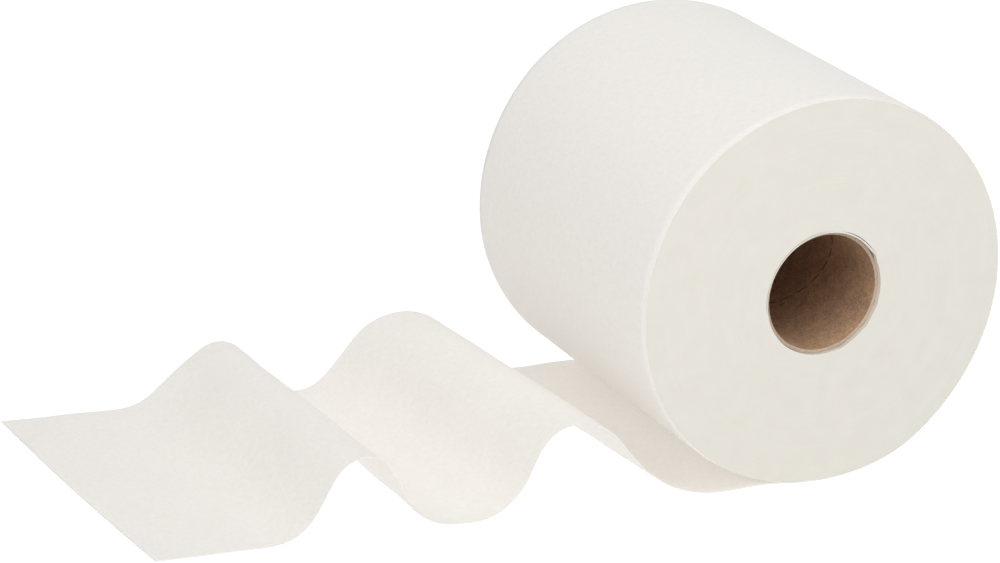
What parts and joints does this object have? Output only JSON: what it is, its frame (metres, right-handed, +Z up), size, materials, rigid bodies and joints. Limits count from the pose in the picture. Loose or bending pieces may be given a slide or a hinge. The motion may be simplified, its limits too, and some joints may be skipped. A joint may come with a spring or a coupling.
{
  "type": "centrefeed paper roll",
  "caption": "White paper roll lying on its side on a card core, with the loose end of its web drawn out over the floor in low humps.",
  "frame": {"origin": "on the floor, at the middle of the flat spot that the roll rests on, under the middle of its length", "axes": "+Y along the roll's axis, from the end that the picture shows to the back; +X across the floor, away from the loose tail; +Z up"},
  "size_m": [0.4245, 0.1755, 0.185],
  "materials": {
    "paper": "soft matt, lightly creped",
    "card": "matt grey-brown board"
  },
  "bodies": {
    "root": {"paper_roll": "paper", "core": "card"}
  },
  "joints": []
}
